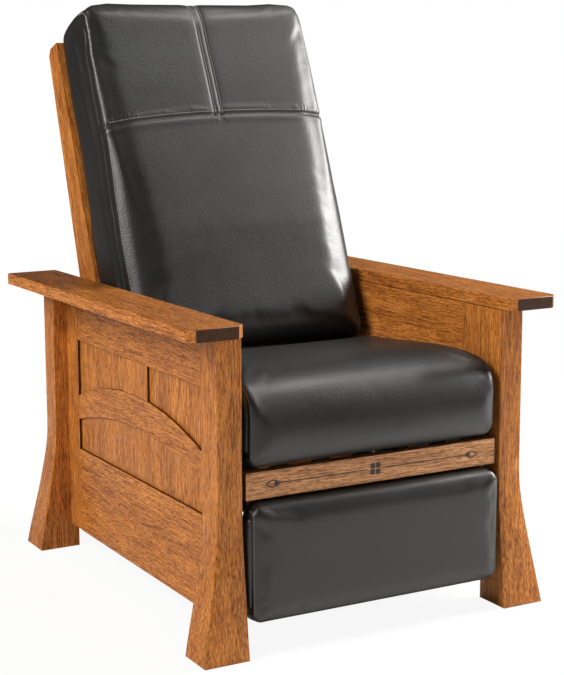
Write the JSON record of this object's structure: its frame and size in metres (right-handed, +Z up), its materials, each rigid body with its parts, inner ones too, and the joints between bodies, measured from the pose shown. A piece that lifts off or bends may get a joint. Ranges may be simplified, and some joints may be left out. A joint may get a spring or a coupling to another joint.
{
  "type": "reclining armchair",
  "caption": "Mission style reclining armchair with flared oak legs, arched side panels, inlaid front rail, leather seat, tilting back and fold-out footrest.",
  "frame": {"origin": "centre of the footprint box on the floor", "axes": "+Z up, X across the chair, the sitter faces -Y"},
  "size_m": [0.798, 0.9078, 1.1925],
  "materials": {
    "oak": "semi-gloss amber-brown stain on quartersawn oak",
    "oak_panel": "semi-gloss amber-brown stain, quartersawn panel",
    "hidden_wood": "plain sanded hardwood",
    "inlay": "dark inlaid wood under the same finish",
    "leather": "smooth black leather with a soft sheen, light topstitching",
    "steel": "black satin paint on steel",
    "zinc": "zinc plated",
    "nylon": "natural nylon"
  },
  "bodies": {
    "frame": {"front_leg_left": "oak", "front_leg_right": "oak", "rear_leg_left": "oak", "rear_leg_right": "oak", "arm_left": "oak", "arm_right": "oak", "side_panels_left": "oak_panel", "side_panels_right": "oak_panel", "side_arch_rail_left": "oak", "side_arch_rail_right": "oak", "side_top_rail_left": "oak", "side_top_rail_right": "oak", "side_bottom_rail_left": "oak", "side_bottom_rail_right": "oak", "side_mullion_left": "oak", "side_mullion_right": "oak", "side_front_stile_left": "oak", "side_front_stile_right": "oak", "side_rear_stile_left": "oak", "side_rear_stile_right": "oak", "front_cross_rail": "hidden_wood", "rear_cross_rail": "hidden_wood", "seat_tracks": "steel", "track_screws": "zinc"},
    "seat": {"front_rail": "oak", "front_rail_inlay": "inlay", "seat_side_rail_left": "hidden_wood", "seat_side_rail_right": "hidden_wood", "seat_rear_rail": "hidden_wood", "seat_springs": "zinc", "spring_clips": "zinc", "seat_cushion": "leather", "plate_screws": "zinc", "seat_plates": "steel", "seat_rivets": "zinc", "glide_axles": "zinc", "glide_shoes": "nylon", "back_hinge_pins": "zinc"},
    "back": {"back_post_left": "oak", "back_post_right": "oak", "back_lower_rail": "oak", "back_top_rail": "oak", "back_slats": "oak", "back_brackets": "steel", "back_screws": "zinc", "back_cushion": "leather"},
    "swing": {"swing_links": "steel", "cross_tube": "steel", "swing_rivets": "zinc"},
    "guide": {"guide_links": "steel", "guide_rivets": "zinc"},
    "long": {"long_links": "steel", "long_rivets": "zinc"},
    "lift": {"lift_links": "steel"},
    "footrest": {"footrest_brackets": "steel", "footrest_board": "hidden_wood", "footrest_screws": "zinc", "footrest_pad": "leather", "tilt_rivets": "zinc"}
  },
  "joints": [
    {"name": "seat_glide", "type": "slide", "parent": "frame", "child": "seat", "axis": [0, -1, 0], "range_m": [0, 0.09]},
    {"name": "back_recline", "type": "hinge", "parent": "seat", "child": "back", "pos_m": [0, 0.17953, 0.34739], "axis": [-1, 0, 0], "range_deg": [0, 35]},
    {"name": "footrest_swing", "type": "hinge", "parent": "seat", "child": "swing", "pos_m": [0, -0.35892, 0.265], "axis": [-1, 0, 0], "range_deg": [0, 95]},
    {"name": "guide_swing", "type": "hinge", "parent": "seat", "child": "guide", "pos_m": [0, -0.30192, 0.245], "axis": [-1, 0, 0], "range_deg": [0, 95]},
    {"name": "long_link_pivot", "type": "hinge", "parent": "swing", "child": "long", "pos_m": [0, -0.26781, 0.08696], "axis": [-1, 0, 0], "range_deg": [-95, 0]},
    {"name": "lift_link_pivot", "type": "hinge", "parent": "swing", "child": "lift", "pos_m": [0, -0.25414, 0.06025], "axis": [-1, 0, 0], "range_deg": [-95, 0]},
    {"name": "footrest_tilt", "type": "hinge", "parent": "long", "child": "footrest", "pos_m": [0, -0.37892, 0.235], "axis": [-1, 0, 0], "range_deg": [0, 95]}
  ],
  "couplings": [
    {"joint": "seat_glide", "follows": "back_recline", "m_per_rad": 0.1472},
    {"joint": "guide_swing", "follows": "footrest_swing", "ratio": 1},
    {"joint": "long_link_pivot", "follows": "footrest_swing", "ratio": -1},
    {"joint": "lift_link_pivot", "follows": "footrest_swing", "ratio": -1},
    {"joint": "footrest_tilt", "follows": "footrest_swing", "ratio": 1}
  ]
}
